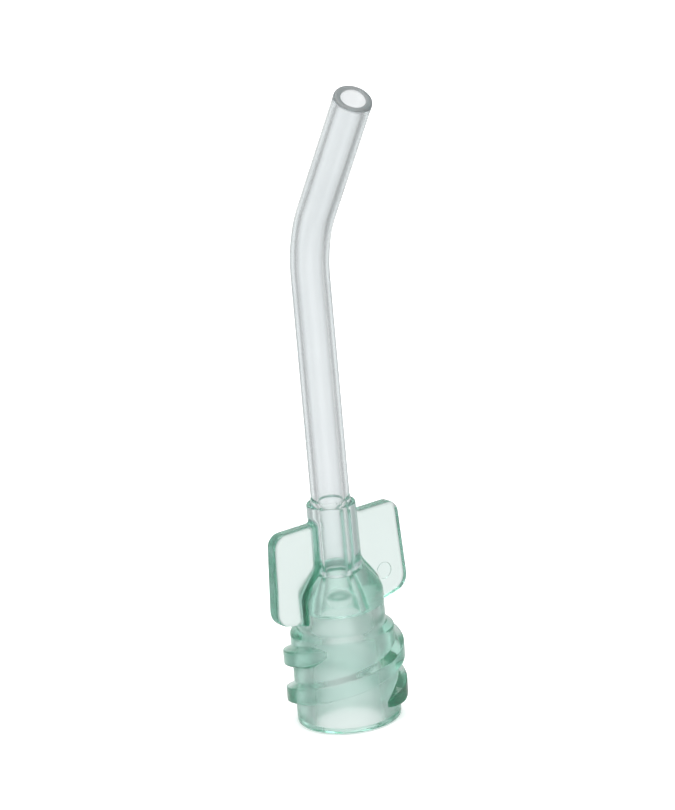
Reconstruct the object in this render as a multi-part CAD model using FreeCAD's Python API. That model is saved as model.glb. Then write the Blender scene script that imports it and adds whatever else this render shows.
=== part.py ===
# Luer suction tip: a winged hub with a female luer lock, a bent suction tube, and the ring of
# cured adhesive that bonds the tube into the hub. Millimetres, +Z up along the hub's axis, the
# origin at the centre of the luer socket's mouth. The wings lie along X and the tube bends
# towards -Y.
import FreeCAD, Part
import math
import os

Vector = FreeCAD.Vector
UP = Vector(0, 0, 1)
FORWARD = Vector(0, -1, 0)
ORIGIN = Vector(0, 0, 0)

# Luer socket: the female 6 % taper
SOCKET_MOUTH_DIAMETER = 4.30
SOCKET_DEPTH = 7.50
LUER_TAPER = 0.06
MOUTH_CHAMFER = 0.15

# Suction tube
TUBE_DIAMETER = 2.50
TUBE_BORE = 1.60
BEND_ANGLE = 31.5
BEND_RADIUS = 9.0
BEND_HEIGHT = 32.0
NOSE_LENGTH = 12.1
LIP_OUTER_ROUND = 0.18
LIP_INNER_ROUND = 0.10

# Hub body
HUB_HEIGHT = 14.6
ROOT_DIAMETER = 6.70
ROOT_TOP = 6.10
BARREL_DIAMETER = 5.70
BARREL_TOP = 8.80
NECK_DIAMETER = 3.24
NECK_TOP_DIAMETER = 3.16
NECK_BASE = 10.50
STEP_HEIGHT = 0.40
RIM_ROUND = 0.25
STEP_ROUND = 0.20
SHOULDER_ROUND = 1.00
NECK_TOP_ROUND = 0.10

# Double-start luer lock thread
CREST_DIAMETER = 7.80
THREAD_LEAD = 5.0
THREAD_STARTS = 2
THREAD_BOTTOM = 1.35
THREAD_TOP = 5.50
THREAD_PHASE = -80.0
CREST_WIDTH = 0.95
FLANK_SLOPE = 0.50
CREST_ROUND = 0.12
THREAD_EMBED = 0.35
THREAD_FADE = 30.0
FADE_DEPTH = 0.10
THREAD_STEP = 6.0

# Passage between the socket and the tube
FLOOR_BORE = 2.50
TUBE_SEAT = 9.80
THROAT_LENGTH = 0.25
SEAT_CLEARANCE = 0.02

# Adhesive well in the neck's top, and the bond in it
WELL_DEPTH = 1.30
WELL_MOUTH_DIAMETER = 2.92
BOND_GAP = 0.01
BOND_FOOT = 0.15
BOND_RIM = 0.04
MENISCUS_HEIGHT = 0.34
MENISCUS_LIP = 0.02
MENISCUS_SAG = 0.07

# Wings
WING_THICKNESS = 1.00
WING_TOP = 13.6
WING_CORNER = 7.65
WING_FOOT = 6.85
WING_FOOT_INSET = 0.8
WING_TOP_SPAN = 9.8
WING_LOW_SPAN = 10.5
WING_TOP_ROUND = 0.90
WING_LOW_ROUND = 1.10
WING_EDGE_ROUND = 0.28
WING_ROOT_FILLET = 0.35

# Gate mark: the scar where the moulding's runner was cut off
GATE_DIAMETER = 1.10
GATE_HEIGHT = 0.10
GATE_EMBED = 0.20
GATE_LEVEL = 8.9
GATE_INSET = 1.5

# How far the tools that cut the passage reach past the hub, and how close counts as equal
OVERRUN = 1.0
CLOSE = 1e-3


def point(radius, height):
    """A point of a profile, in the XZ plane."""
    return Vector(radius, 0, height)


def turned(points):
    """The solid of revolution about Z of a closed outline of (radius, height) points."""
    outline = Part.makePolygon([point(*p) for p in points] + [point(*points[0])])
    return Part.Face(outline).revolve(ORIGIN, UP, 360)


def circles(shape, radius, centre):
    """The shape's circular edges of that radius about that centre."""
    return [
        edge
        for edge in shape.Edges
        if isinstance(edge.Curve, Part.Circle)
        and (edge.Curve.Center - centre).Length < CLOSE
        and abs(edge.Curve.Radius - radius) < CLOSE
    ]


def rounded_outline(corners):
    """A closed wire through (x, z, radius) corners in the XZ plane, each rounded by its radius."""
    arcs = []
    for i, (x, z, radius) in enumerate(corners):
        before = point(*corners[i - 1][:2])
        after = point(*corners[(i + 1) % len(corners)][:2])
        corner = point(x, z)
        to_before = (before - corner).normalize()
        to_after = (after - corner).normalize()
        half = to_before.getAngle(to_after) / 2
        tangent = radius / math.tan(half)
        bisector = (to_before + to_after).normalize()
        middle = corner + bisector * (radius / math.sin(half) - radius)
        arcs.append((corner + to_before * tangent, middle, corner + to_after * tangent))
    edges = []
    for i, (start, middle, end) in enumerate(arcs):
        if (end - start).Length > CLOSE:
            edges.append(Part.Arc(start, middle, end).toShape())
        edges.append(Part.LineSegment(end, arcs[(i + 1) % len(arcs)][0]).toShape())
    return Part.Wire(edges)


def hub_core():
    """The hub's outside without wings and thread: rim, barrel, shoulder and neck."""
    root = ROOT_DIAMETER / 2
    barrel = BARREL_DIAMETER / 2
    neck = NECK_DIAMETER / 2
    neck_top = NECK_TOP_DIAMETER / 2
    body = turned(
        [
            (0, 0),
            (root, 0),
            (root, ROOT_TOP),
            (barrel, ROOT_TOP + STEP_HEIGHT),
            (barrel, BARREL_TOP),
            (neck, NECK_BASE),
            (neck_top, HUB_HEIGHT),
            (0, HUB_HEIGHT),
        ]
    )
    shoulder = circles(body, barrel, UP * BARREL_TOP) + circles(body, neck, UP * NECK_BASE)
    body = body.makeFillet(SHOULDER_ROUND, shoulder)
    step_top = UP * (ROOT_TOP + STEP_HEIGHT)
    step = circles(body, root, UP * ROOT_TOP) + circles(body, barrel, step_top)
    body = body.makeFillet(STEP_ROUND, step)
    body = body.makeFillet(RIM_ROUND, circles(body, root, ORIGIN))
    return body.makeFillet(NECK_TOP_ROUND, circles(body, neck_top, UP * HUB_HEIGHT))


def wings():
    """The flat grip plate through the hub's axis, with its edges rounded."""
    low = WING_LOW_SPAN / 2
    top = WING_TOP_SPAN / 2
    foot = BARREL_DIAMETER / 2 - WING_FOOT_INSET
    outline = rounded_outline(
        [
            (-foot, WING_FOOT, 0),
            (foot, WING_FOOT, 0),
            (low, WING_CORNER, WING_LOW_ROUND),
            (top, WING_TOP, WING_TOP_ROUND),
            (-top, WING_TOP, WING_TOP_ROUND),
            (-low, WING_CORNER, WING_LOW_ROUND),
        ]
    )
    face = Part.Face(outline)
    face.translate(FORWARD * (-WING_THICKNESS / 2))
    plate = face.extrude(FORWARD * WING_THICKNESS)
    edges = [
        edge
        for edge in plate.Edges
        if edge.BoundBox.YLength < CLOSE and edge.BoundBox.ZMax > WING_FOOT + CLOSE
    ]
    return plate.makeFillet(WING_EDGE_ROUND, edges)


def wing_root_edges(body):
    """The edges where the wings' flat faces meet the turned body."""
    found = []
    for edge in body.Edges:
        box = edge.BoundBox
        on_wing = box.YLength < CLOSE and abs(abs(box.Center.y) - WING_THICKNESS / 2) < CLOSE
        if on_wing and max(abs(box.XMin), abs(box.XMax)) < ROOT_DIAMETER / 2:
            found.append(edge)
    return found


def ridge_section(angle, height, share):
    """The thread's cross-section at one angle round the hub; share 1 is the full ridge."""
    inner = ROOT_DIAMETER / 2 - THREAD_EMBED
    crest = inner + (CREST_DIAMETER / 2 - inner) * share
    half_crest = CREST_WIDTH / 2 * share
    half_inner = half_crest + (crest - inner) * FLANK_SLOPE
    section = rounded_outline(
        [
            (inner, half_inner, 0),
            (crest, half_crest, CREST_ROUND * share),
            (crest, -half_crest, CREST_ROUND * share),
            (inner, -half_inner, 0),
        ]
    )
    section.translate(UP * height)
    section.rotate(ORIGIN, UP, angle)
    return section


def thread_ridge(start_angle):
    """One start of the lock thread, rising out of the root and sinking back into it."""
    turn = 360 * (THREAD_TOP - THREAD_BOTTOM) / THREAD_LEAD
    steps = math.ceil(turn / THREAD_STEP)
    full = (CREST_DIAMETER - ROOT_DIAMETER) / 2 + THREAD_EMBED
    buried = (THREAD_EMBED - FADE_DEPTH) / full
    sections = []
    for i in range(steps + 1):
        swept = turn * i / steps
        from_end = min(swept, turn - swept)
        rise = math.sin(min(1.0, from_end / THREAD_FADE) * math.pi / 2)
        height = THREAD_BOTTOM + THREAD_LEAD * swept / 360
        share = buried + (1 - buried) * rise
        sections.append(ridge_section(start_angle + swept, height, share))
    return Part.makeLoft(sections, True, False)


def passage():
    """Everything open inside the hub, from the socket's mouth to the adhesive well."""
    mouth = SOCKET_MOUTH_DIAMETER / 2
    throat = TUBE_BORE / 2
    seat = TUBE_DIAMETER / 2 + SEAT_CLEARANCE
    well = WELL_MOUTH_DIAMETER / 2
    return turned(
        [
            (0, -OVERRUN),
            (mouth + MOUTH_CHAMFER + OVERRUN, -OVERRUN),
            (mouth + MOUTH_CHAMFER, 0),
            (mouth - LUER_TAPER / 2 * MOUTH_CHAMFER, MOUTH_CHAMFER),
            (mouth - LUER_TAPER / 2 * SOCKET_DEPTH, SOCKET_DEPTH),
            (FLOOR_BORE / 2, SOCKET_DEPTH),
            (throat, TUBE_SEAT - THROAT_LENGTH),
            (throat, TUBE_SEAT),
            (seat, TUBE_SEAT),
            (seat, HUB_HEIGHT - WELL_DEPTH),
            (well, HUB_HEIGHT),
            (well, HUB_HEIGHT + OVERRUN),
            (0, HUB_HEIGHT + OVERRUN),
        ]
    )


def gate_mark():
    """A low disc on the back face of one wing."""
    centre = Vector(WING_LOW_SPAN / 2 - GATE_INSET, WING_THICKNESS / 2 - GATE_EMBED, GATE_LEVEL)
    length = GATE_EMBED + GATE_HEIGHT
    disc = Part.makeCylinder(GATE_DIAMETER / 2, length, centre, -FORWARD)
    rim = circles(disc, GATE_DIAMETER / 2, centre - FORWARD * length)
    return disc.makeFillet(GATE_HEIGHT / 2, rim)


def hub():
    """The moulded hub: core, wings, lock thread and gate mark, with the passage cut through."""
    body = hub_core().fuse(wings()).removeSplitter()
    body = body.makeFillet(WING_ROOT_FILLET, wing_root_edges(body))
    spacing = 360 / THREAD_STARTS
    ridges = [thread_ridge(THREAD_PHASE + spacing * i) for i in range(THREAD_STARTS)]
    return body.fuse(ridges + [gate_mark()]).cut(passage())


def tube_axis():
    """The tube's centre line: a straight shank, the heat-formed bend and a straight nose."""
    angle = math.radians(BEND_ANGLE)
    tangent = BEND_RADIUS * math.tan(angle / 2)
    nose = FORWARD * math.sin(angle) + UP * math.cos(angle)
    corner = UP * BEND_HEIGHT
    bend_start = corner - UP * tangent
    bend_end = corner + nose * tangent
    outward = FORWARD * -math.cos(angle / 2) + UP * math.sin(angle / 2)
    middle = bend_start + FORWARD * BEND_RADIUS + outward * BEND_RADIUS
    return Part.Wire(
        [
            Part.LineSegment(UP * TUBE_SEAT, bend_start).toShape(),
            Part.Arc(bend_start, middle, bend_end).toShape(),
            Part.LineSegment(bend_end, corner + nose * NOSE_LENGTH).toShape(),
        ]
    )


def rod(diameter, axis):
    """A solid round rod along a centre line that starts at the tube's seat."""
    ring = Part.makeCircle(diameter / 2, UP * TUBE_SEAT, UP)
    return axis.makePipeShell([Part.Wire([ring])], True, False)


def cannula():
    """The bent suction tube, with its mouth's lip rounded inside and out."""
    axis = tube_axis()
    tube = rod(TUBE_DIAMETER, axis).cut(rod(TUBE_BORE, axis))
    mouth = axis.Vertexes[-1].Point
    tube = tube.makeFillet(LIP_OUTER_ROUND, circles(tube, TUBE_DIAMETER / 2, mouth))
    return tube.makeFillet(LIP_INNER_ROUND, circles(tube, TUBE_BORE / 2, mouth))


def adhesive_bond():
    """The cured adhesive in the hub's well, with the meniscus it draws up the tube."""
    inner = TUBE_DIAMETER / 2 + BOND_GAP
    foot = HUB_HEIGHT - WELL_DEPTH + BOND_FOOT
    foot_outer = inner + SEAT_CLEARANCE
    rim = HUB_HEIGHT - BOND_RIM
    rim_outer = WELL_MOUTH_DIAMETER / 2 - 2 * BOND_GAP
    peak = HUB_HEIGHT + MENISCUS_HEIGHT
    lip = inner + MENISCUS_LIP
    hollow = point(lip + MENISCUS_SAG, rim + MENISCUS_SAG)
    outline = [
        Part.Arc(point(rim_outer, rim), hollow, point(lip, peak)).toShape(),
        Part.LineSegment(point(lip, peak), point(inner, peak)).toShape(),
        Part.LineSegment(point(inner, peak), point(inner, foot)).toShape(),
        Part.LineSegment(point(inner, foot), point(foot_outer, foot)).toShape(),
        Part.LineSegment(point(foot_outer, foot), point(rim_outer, rim)).toShape(),
    ]
    return Part.Face(Part.Wire(outline)).revolve(ORIGIN, UP, 360)


def main():
    os.makedirs("parts", exist_ok=True)
    for build in (hub, cannula, adhesive_bond):
        shape = build()
        shape.exportStep(f"parts/{build.__name__}.step")
        state = "valid" if shape.isValid() else "INVALID"
        print(build.__name__, state, f"{len(shape.Solids)} solid, {shape.Volume:.2f} mm3")


main()
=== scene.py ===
"""Looks of the luer suction tip: clear green winged hub, bent clear tube and its adhesive bond.

Metres, in the CAD row's frame: +Z up the hub's axis, the origin at the centre of the luer
socket's mouth, the wings along X, and the tube's nose bending towards -Y.
"""

import math

import bpy
from mathutils import Matrix, Vector


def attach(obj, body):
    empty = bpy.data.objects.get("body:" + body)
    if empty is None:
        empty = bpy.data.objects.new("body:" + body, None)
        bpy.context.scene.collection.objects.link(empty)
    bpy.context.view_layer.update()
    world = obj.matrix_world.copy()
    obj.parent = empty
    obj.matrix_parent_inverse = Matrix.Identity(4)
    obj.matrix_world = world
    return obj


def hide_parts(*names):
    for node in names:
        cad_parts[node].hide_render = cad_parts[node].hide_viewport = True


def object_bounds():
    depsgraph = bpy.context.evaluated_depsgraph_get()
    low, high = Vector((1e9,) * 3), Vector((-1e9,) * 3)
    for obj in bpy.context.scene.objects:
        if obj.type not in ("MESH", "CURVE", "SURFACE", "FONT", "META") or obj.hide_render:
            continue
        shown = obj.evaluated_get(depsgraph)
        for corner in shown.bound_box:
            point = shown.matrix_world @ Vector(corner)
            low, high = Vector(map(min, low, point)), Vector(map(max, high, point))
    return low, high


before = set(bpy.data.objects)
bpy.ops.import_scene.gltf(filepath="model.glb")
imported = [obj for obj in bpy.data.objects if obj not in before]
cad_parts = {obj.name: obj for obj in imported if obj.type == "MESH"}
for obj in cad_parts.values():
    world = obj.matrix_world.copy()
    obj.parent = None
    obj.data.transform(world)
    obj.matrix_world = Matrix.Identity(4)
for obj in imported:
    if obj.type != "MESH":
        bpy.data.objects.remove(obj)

MM = 0.001

# Camera
AZIMUTH = -35.0
ELEVATION = 18.0
ROLL = 5.1
DISTANCE = 400 * MM
FRAME_HEIGHT = 51 * MM
SENSOR = 36.0

# Suction tube, as in the CAD
TUBE_RADIUS = 1.25 * MM
BORE_RADIUS = 0.80 * MM
SEAT = 9.80 * MM
CORNER = 32.0 * MM
NOSE = 12.1 * MM
BEND_RADIUS = 9.0 * MM
BEND_ANGLE = math.radians(31.5)
LIP_OUTER_ROUND = 0.18 * MM
LIP_INNER_ROUND = 0.10 * MM

# The tube's lower end stops this far above its seat, so that no two faces coincide
END_GAP = 0.01 * MM

# The bonded joint: between these heights and radii, tube, adhesive and hub meet with no air
JOINT_FOOT = 10.05 * MM
BOND_RIM = 14.555 * MM
MENISCUS_TOP = 14.94 * MM
HUB_BOND_RADIUS = 1.50 * MM
TUBE_BOND_RADIUS = 1.265 * MM
INSIDE_WALL = 0.88 * MM

# The luer socket's wall and floor, which the core pin leaves satin
SOCKET_DEPTH = 7.505 * MM
SOCKET_RADIUS = 2.18 * MM

# What forming and cutting leave on the tube
BEND_OVALITY = 0.030
CUT_DEPTH = 0.16 * MM

# Plastic: refraction, the share of light it lets through, and the roughness of a satin face
PLASTIC_IOR = 1.50
CLARITY = 0.975
CUT_CLARITY = 0.85
RESIN_CLARITY = 0.96
SATIN = 0.22
WHITE = (1.0, 1.0, 1.0)

# What each plastic's body lets through, and how strongly it takes away the rest, per metre
HUB_TINT = (0.0, 0.70, 0.50)
HUB_DENSITY = 143.0
TUBE_TINT = (0.0, 0.55, 0.58)
TUBE_DENSITY = 75.0
RESIN_TINT = (0.1, 0.7, 0.5)
RESIN_DENSITY = 60.0

# The length of tube that one unit of its texture covers
RUN_UNIT = 20 * MM

# Resolution of the tube's mesh
TUBE_SIDES = 96
SHANK_RINGS = 48
BEND_RINGS = 40
NOSE_RINGS = 24
ROUND_RINGS = 5

# Studio: the flags' azimuths from the camera and half widths, in degrees, and their brightness;
# the sky's extra brightness, the ground's share of the walls' brightness, and the floor
FLAGS = [(-130, 38), (-45, 42), (45, 42), (135, 42)]
FLAG_LIGHT = 0.50
SKY_EXTRA = 0.25
GROUND_LIGHT = 0.65
FLOOR_SIZE = 3.0
FLOOR_GLOW = 0.35
FLOOR_GREY = (0.95, 0.95, 0.95, 1)


# ---------------------------------------------------------------- nodes


class Tree:
    """A node tree with short ways to add and join nodes."""

    def __init__(self, owner):
        owner.use_nodes = True
        self.tree = owner.node_tree
        self.tree.nodes.clear()

    def node(self, kind, inputs=None, **settings):
        made = self.tree.nodes.new(kind)
        for name, value in settings.items():
            setattr(made, name, value)
        for name, value in (inputs or {}).items():
            if isinstance(value, bpy.types.NodeSocket):
                self.tree.links.new(value, made.inputs[name])
            else:
                made.inputs[name].default_value = value
        return made

    def noise(self, vector, scale, detail=3.0, roughness=0.5):
        return self.node(
            "ShaderNodeTexNoise",
            {"Vector": vector, "Scale": scale, "Detail": detail, "Roughness": roughness},
        ).outputs["Fac"]

    def mapped(self, value, low, high, start=0.3, end=0.7):
        """The value's stretch from start to end, as low to high."""
        inputs = {"Value": value, "From Min": start, "From Max": end, "To Min": low, "To Max": high}
        return self.node("ShaderNodeMapRange", inputs).outputs["Result"]

    def maths(self, operation, first, second=0.0):
        return self.node(
            "ShaderNodeMath", {0: first, 1: second}, operation=operation
        ).outputs["Value"]

    def place(self):
        """The object's own coordinates, and each point's radius about the hub's axis and height."""
        vector = self.node("ShaderNodeTexCoord").outputs["Object"]
        axes = self.node("ShaderNodeSeparateXYZ", {"Vector": vector}).outputs
        flat = self.node("ShaderNodeCombineXYZ", {"X": axes["X"], "Y": axes["Y"]}).outputs["Vector"]
        radius = self.node("ShaderNodeVectorMath", {0: flat}, operation="LENGTH").outputs["Value"]
        return vector, radius, axes["Z"]

    def above(self, value, limit):
        return self.maths("GREATER_THAN", value, limit)

    def below(self, value, limit):
        return self.maths("LESS_THAN", value, limit)

    def both(self, first, second):
        return self.maths("MULTIPLY", first, second)

    def either(self, first, second):
        return self.maths("MAXIMUM", first, second)

    def blend(self, share, first, second):
        """A colour between two, by share. Either may be another node's."""
        made = self.node("ShaderNodeMix", {"Factor": share}, data_type="RGBA")
        colours = [socket for socket in made.inputs if socket.type == "RGBA"]
        for socket, colour in zip(colours, (first, second)):
            if isinstance(colour, bpy.types.NodeSocket):
                self.tree.links.new(colour, socket)
            else:
                socket.default_value = (*colour, 1)
        return next(socket for socket in made.outputs if socket.type == "RGBA")

    def bump(self, height, strength, distance, normal=None):
        inputs = {"Height": height, "Strength": strength, "Distance": distance}
        if normal is not None:
            inputs["Normal"] = normal
        return self.node("ShaderNodeBump", inputs).outputs["Normal"]


def clear_plastic(tree, clear, joined, colour, absorbs, density, **linked):
    """Ends a material in a slightly milky plastic: a refracting skin and an absorbing body.

    Where joined is 1 the surface is bonded to its neighbour and light passes it unchanged.
    """
    inputs = {
        "Transmission Weight": tree.mapped(joined, clear, 1.0, 0.0, 1.0),
        "IOR": tree.mapped(joined, PLASTIC_IOR, 1.0, 0.0, 1.0),
        "Base Color": tree.blend(joined, colour, WHITE),
    }
    inputs.update(linked)
    skin = tree.node("ShaderNodeBsdfPrincipled", inputs)
    body = tree.node("ShaderNodeVolumeAbsorption", {"Color": (*absorbs, 1), "Density": density})
    tree.node(
        "ShaderNodeOutputMaterial",
        {"Surface": skin.outputs["BSDF"], "Volume": body.outputs["Volume"]},
    )


# ---------------------------------------------------------------- materials


def hub_material():
    """Clear green moulded plastic: polished, with faint flow haze and a fine mould texture."""
    material = bpy.data.materials.new("hub_green_clear")
    tree = Tree(material)
    place, radius, height = tree.place()
    glued = tree.both(tree.above(height, JOINT_FOOT), tree.below(height, BOND_RIM))
    joined = tree.both(glued, tree.below(radius, HUB_BOND_RADIUS))
    in_socket = tree.both(tree.below(height, SOCKET_DEPTH), tree.below(radius, SOCKET_RADIUS))
    satin = tree.maths("MULTIPLY", in_socket, SATIN)
    haze = tree.noise(place, 420.0, 4.0, 0.6)
    grain = tree.noise(place, 5200.0, 2.0)
    swell = tree.noise(place, 900.0, 2.0)
    waves = tree.bump(swell, 0.35, 0.03 * MM)
    clear_plastic(
        tree,
        CLARITY,
        joined,
        tree.blend(haze, (0.99, 0.99, 0.99), (0.965, 0.97, 0.97)),
        HUB_TINT,
        HUB_DENSITY,
        **{
            "Roughness": tree.maths("ADD", tree.mapped(haze, 0.10, 0.20), satin),
            "Normal": tree.bump(grain, 0.25, 0.004 * MM, waves),
        },
    )
    return material


def tube_material():
    """Almost colourless extruded plastic: faint die lines along it, frosted where it was cut."""
    material = bpy.data.materials.new("tube_grey_clear")
    tree = Tree(material)
    along = tree.node("ShaderNodeAttribute", attribute_name="extrusion").outputs["Vector"]
    place, radius, height = tree.place()
    glued = tree.both(tree.above(height, JOINT_FOOT), tree.below(height, MENISCUS_TOP))
    joined = tree.both(glued, tree.above(radius, INSIDE_WALL))
    run = tree.node("ShaderNodeSeparateXYZ", {"Vector": along}).outputs["Z"]
    cut = tree.above(run, (tube_length() - CUT_DEPTH) / RUN_UNIT)
    lines = tree.noise(along, 9.0, 3.0, 0.6)
    cloud = tree.noise(place, 300.0, 3.0)
    swell = tree.noise(place, 700.0, 2.0)
    waves = tree.bump(swell, 0.25, 0.02 * MM)
    frost = tree.maths("MULTIPLY", cut, SATIN)
    clear_plastic(
        tree,
        tree.mapped(cut, CLARITY, CUT_CLARITY, 0.0, 1.0),
        joined,
        tree.blend(cloud, (0.985, 0.99, 0.995), (0.96, 0.97, 0.98)),
        TUBE_TINT,
        TUBE_DENSITY,
        **{
            "Roughness": tree.maths("ADD", tree.mapped(cloud, 0.06, 0.15), frost),
            "Normal": tree.bump(lines, 0.35, 0.006 * MM, waves),
        },
    )
    return material


def resin_material():
    """Clear cured adhesive, glossy, with a few faint swirls."""
    material = bpy.data.materials.new("bond_clear_resin")
    tree = Tree(material)
    place, radius, height = tree.place()
    inside = tree.below(radius, TUBE_BOND_RADIUS)
    joined = tree.either(inside, tree.below(height, BOND_RIM))
    swirl = tree.noise(place, 1500.0, 4.0, 0.6)
    clear_plastic(
        tree,
        RESIN_CLARITY,
        joined,
        tree.blend(swirl, (0.99, 1.0, 0.995), (0.95, 0.97, 0.96)),
        RESIN_TINT,
        RESIN_DENSITY,
        **{
            "Roughness": tree.mapped(swirl, 0.03, 0.09),
            "Normal": tree.bump(swirl, 0.3, 0.01 * MM),
        },
    )
    return material


# ---------------------------------------------------------------- suction tube


def shank_length():
    """The straight run from the tube's seat to the start of its bend."""
    return CORNER - SEAT - BEND_RADIUS * math.tan(BEND_ANGLE / 2)


def tube_length():
    """The centre line's whole length: shank, bend and nose."""
    nose = NOSE - BEND_RADIUS * math.tan(BEND_ANGLE / 2)
    return shank_length() + BEND_RADIUS * BEND_ANGLE + nose


def tube_frame(run):
    """The centre line's point and its normal towards the bend's inside, that far along."""
    shank = shank_length()
    turn = min(max((run - shank) / BEND_RADIUS, 0.0), BEND_ANGLE)
    rest = max(run - shank - BEND_RADIUS * BEND_ANGLE, 0.0)
    height = SEAT + min(run, shank) + BEND_RADIUS * math.sin(turn) + rest * math.cos(turn)
    forward = BEND_RADIUS * (1 - math.cos(turn)) + rest * math.sin(turn)
    normal = Vector((0, -math.cos(turn), -math.sin(turn)))
    return Vector((0, -forward, height)), normal


def bend_share(run):
    """How far into the bend a place is: 0 on the straight runs, 1 at the bend's middle."""
    turn = (run - shank_length()) / (BEND_RADIUS * BEND_ANGLE)
    return math.sin(math.pi * turn) ** 2 if 0 < turn < 1 else 0.0


def spread(start, end, count):
    """Evenly spaced values from start up to, but not including, end."""
    return [start + (end - start) * i / count for i in range(count)]


def tube_stations():
    """(run, radius) rings round the wall: up the outside, over the lip and down the bore."""
    length = tube_length()
    bend_start = shank_length()
    bend_end = bend_start + BEND_RADIUS * BEND_ANGLE
    outside_end = length - LIP_OUTER_ROUND
    inside_end = length - LIP_INNER_ROUND
    rise = spread(END_GAP, bend_start, SHANK_RINGS) + spread(bend_start, bend_end, BEND_RINGS)
    outer = rise + spread(bend_end, outside_end, NOSE_RINGS)
    inner = rise + spread(bend_end, inside_end, NOSE_RINGS)
    stations = [(run, TUBE_RADIUS) for run in outer]
    for i in range(ROUND_RINGS + 1):
        angle = math.pi / 2 * i / ROUND_RINGS
        run = outside_end + LIP_OUTER_ROUND * math.sin(angle)
        stations.append((run, TUBE_RADIUS - LIP_OUTER_ROUND * (1 - math.cos(angle))))
    for i in range(ROUND_RINGS + 1):
        angle = math.pi / 2 * i / ROUND_RINGS
        run = inside_end + LIP_INNER_ROUND * math.cos(angle)
        stations.append((run, BORE_RADIUS + LIP_INNER_ROUND * (1 - math.sin(angle))))
    return stations + [(run, BORE_RADIUS) for run in reversed(inner)]


def tube_mesh():
    """A closed grid of rings, slightly oval where the tube was bent."""
    points = []
    extrusion = []
    stations = tube_stations()
    for run, radius in stations:
        centre, normal = tube_frame(run)
        oval = BEND_OVALITY * bend_share(run)
        for i in range(TUBE_SIDES):
            angle = 2 * math.pi * i / TUBE_SIDES
            across = Vector((1, 0, 0)) * (math.cos(angle) * (1 + oval))
            points.append(centre + (across + normal * (math.sin(angle) * (1 - oval))) * radius)
            extrusion.append((math.cos(angle), math.sin(angle), run / RUN_UNIT))
    faces = []
    for ring in range(len(stations)):
        following = (ring + 1) % len(stations)
        for i in range(TUBE_SIDES):
            j = (i + 1) % TUBE_SIDES
            low = ring * TUBE_SIDES
            high = following * TUBE_SIDES
            faces.append((low + i, high + i, high + j, low + j))
    mesh = bpy.data.meshes.new("suction_tube")
    mesh.from_pydata(points, [], faces)
    attribute = mesh.attributes.new("extrusion", "FLOAT_VECTOR", "POINT")
    attribute.data.foreach_set("vector", [c for place in extrusion for c in place])
    mesh.shade_smooth()
    mesh.set_sharp_from_angle(angle=math.radians(50))
    return mesh


def suction_tube():
    """The visible tube, in place of the plain one."""
    tube = bpy.data.objects.new("suction_tube", tube_mesh())
    bpy.context.scene.collection.objects.link(tube)
    tube.data.materials.append(tube_material())
    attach(tube, "root")
    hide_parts("cannula")


# ---------------------------------------------------------------- studio


def floor():
    """A plain white floor that the clear plastic neither refracts nor mirrors."""
    half = FLOOR_SIZE / 2
    mesh = bpy.data.meshes.new("studio_floor")
    corners = [(-half, -half, 0), (half, -half, 0), (half, half, 0), (-half, half, 0)]
    mesh.from_pydata(corners, [], [(0, 1, 2, 3)])
    plane = bpy.data.objects.new("studio_floor", mesh)
    bpy.context.scene.collection.objects.link(plane)
    material = bpy.data.materials.new("floor_white")
    tree = Tree(material)
    skin = tree.node("ShaderNodeBsdfDiffuse", {"Color": FLOOR_GREY})
    glow = tree.node("ShaderNodeEmission", {"Strength": FLOOR_GLOW})
    both = tree.node("ShaderNodeAddShader", {0: skin.outputs[0], 1: glow.outputs[0]})
    tree.node("ShaderNodeOutputMaterial", {"Surface": both.outputs[0]})
    mesh.materials.append(material)
    plane.visible_transmission = False
    plane.visible_glossy = False
    plane.visible_diffuse = False


def flag(tree, from_camera, azimuth, half_width):
    """A tall dark panel in the room: 1 at its middle, fading to 0 at its sides."""
    offset = tree.maths("SUBTRACT", from_camera, math.radians(azimuth))
    wrapped = tree.node(
        "ShaderNodeMath", {0: offset, 1: math.pi, 2: -math.pi}, operation="WRAP"
    ).outputs["Value"]
    quarter = tree.maths("MULTIPLY", wrapped, math.pi / 2 / math.radians(half_width))
    limited = tree.maths("MAXIMUM", tree.maths("MINIMUM", quarter, math.pi / 2), -math.pi / 2)
    fade = tree.maths("COSINE", limited)
    return tree.both(fade, fade)


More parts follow.
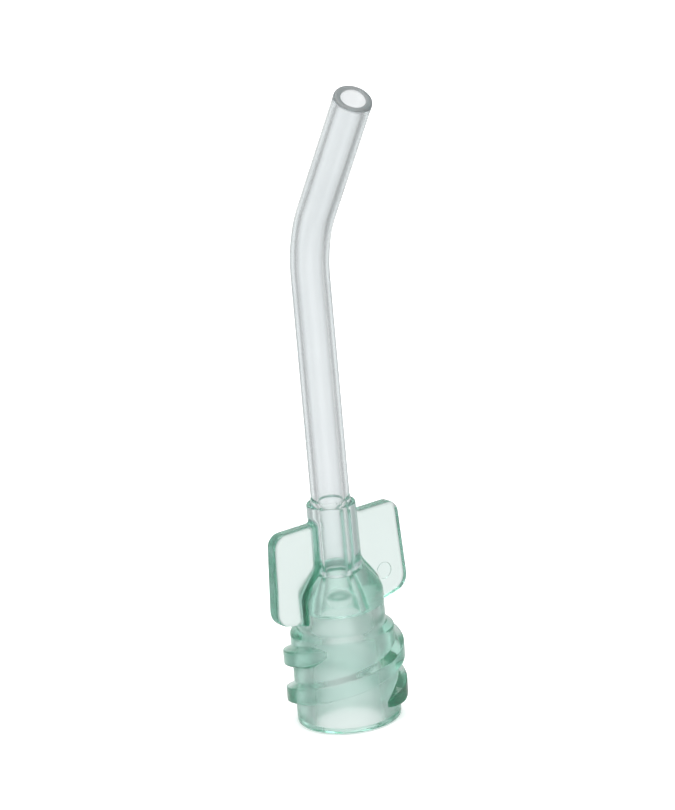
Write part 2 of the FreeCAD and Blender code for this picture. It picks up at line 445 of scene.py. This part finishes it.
def studio_world():
    """A white room with four dark flags: the plastic mirrors and bends them, no camera sees them."""
    world = bpy.data.worlds.new("studio")
    bpy.context.scene.world = world
    tree = Tree(world)
    direction = tree.node("ShaderNodeTexCoord").outputs["Generated"]
    axes = tree.node("ShaderNodeSeparateXYZ", {"Vector": direction}).outputs
    turn = tree.maths("ARCTAN2", axes["X"], tree.maths("MULTIPLY", axes["Y"], -1.0))
    from_camera = tree.maths("SUBTRACT", turn, math.radians(AZIMUTH))
    shade = 0.0
    for azimuth, half_width in FLAGS:
        shade = tree.maths("ADD", flag(tree, from_camera, azimuth, half_width), shade)
    walls = tree.mapped(shade, 1.0, FLAG_LIGHT, 0.0, 1.0)
    sky = tree.mapped(axes["Z"], 0.0, SKY_EXTRA, start=0.2, end=1.0)
    ground = tree.mapped(axes["Z"], GROUND_LIGHT, 1.0, start=-1.0, end=-0.45)
    light = tree.both(tree.maths("ADD", walls, sky), ground)
    room = tree.node("ShaderNodeBackground", {"Color": (1, 1, 1, 1), "Strength": light})
    plain = tree.node("ShaderNodeBackground", {"Color": (1, 1, 1, 1), "Strength": 1.0})
    seen = tree.node("ShaderNodeLightPath").outputs["Is Camera Ray"]
    joined = tree.node(
        "ShaderNodeMixShader", {0: seen, 1: room.outputs[0], 2: plain.outputs[0]}
    )
    tree.node("ShaderNodeOutputWorld", {"Surface": joined.outputs[0]})


def towards(azimuth, elevation):
    """The unit vector from the object to a viewer at that azimuth and elevation, in degrees."""
    a = math.radians(azimuth)
    e = math.radians(elevation)
    return Vector((math.sin(a) * math.cos(e), -math.cos(a) * math.cos(e), math.sin(e)))


def soft_light(name, azimuth, elevation, distance, size, power):
    """A square soft light that faces the object."""
    lamp = bpy.data.lights.new(name, "AREA")
    lamp.shape = "SQUARE"
    lamp.size = size
    lamp.energy = power
    lamp_object = bpy.data.objects.new(name, lamp)
    bpy.context.scene.collection.objects.link(lamp_object)
    back = towards(azimuth, elevation)
    lamp_object.location = back * distance
    lamp_object.rotation_mode = "QUATERNION"
    lamp_object.rotation_quaternion = (-back).to_track_quat("-Z", "Y")


def camera(low, high):
    """A long lens at the photograph's viewing angle, centred on the object."""
    lens = bpy.data.cameras.new("camera")
    lens.sensor_width = SENSOR
    lens.lens = SENSOR * DISTANCE / FRAME_HEIGHT
    lens.clip_start = 10 * MM
    lens.clip_end = 10.0
    eye = bpy.data.objects.new("camera", lens)
    bpy.context.scene.collection.objects.link(eye)
    back = towards(AZIMUTH, ELEVATION)
    eye.location = (low + high) / 2 + back * DISTANCE
    eye.rotation_mode = "QUATERNION"
    roll = Matrix.Rotation(-math.radians(ROLL), 4, "Z").to_quaternion()
    eye.rotation_quaternion = (-back).to_track_quat("-Z", "Y") @ roll
    bpy.context.scene.camera = eye


def studio(low, high):
    """Floor, room, one overhead light, the camera, and enough bounces for clear plastic."""
    floor()
    studio_world()
    soft_light("overhead_light", azimuth=0, elevation=90, distance=1.2, size=1.0, power=9.0)
    camera(low, high)
    scene = bpy.context.scene
    scene.view_settings.view_transform = "Standard"
    scene.cycles.max_bounces = 32
    scene.cycles.transmission_bounces = 24
    scene.cycles.glossy_bounces = 12


# ---------------------------------------------------------------- build

cad_low, cad_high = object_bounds()

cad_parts["hub"].data.materials[0] = hub_material()
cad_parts["adhesive_bond"].data.materials[0] = resin_material()
suction_tube()
studio(cad_low, cad_high)
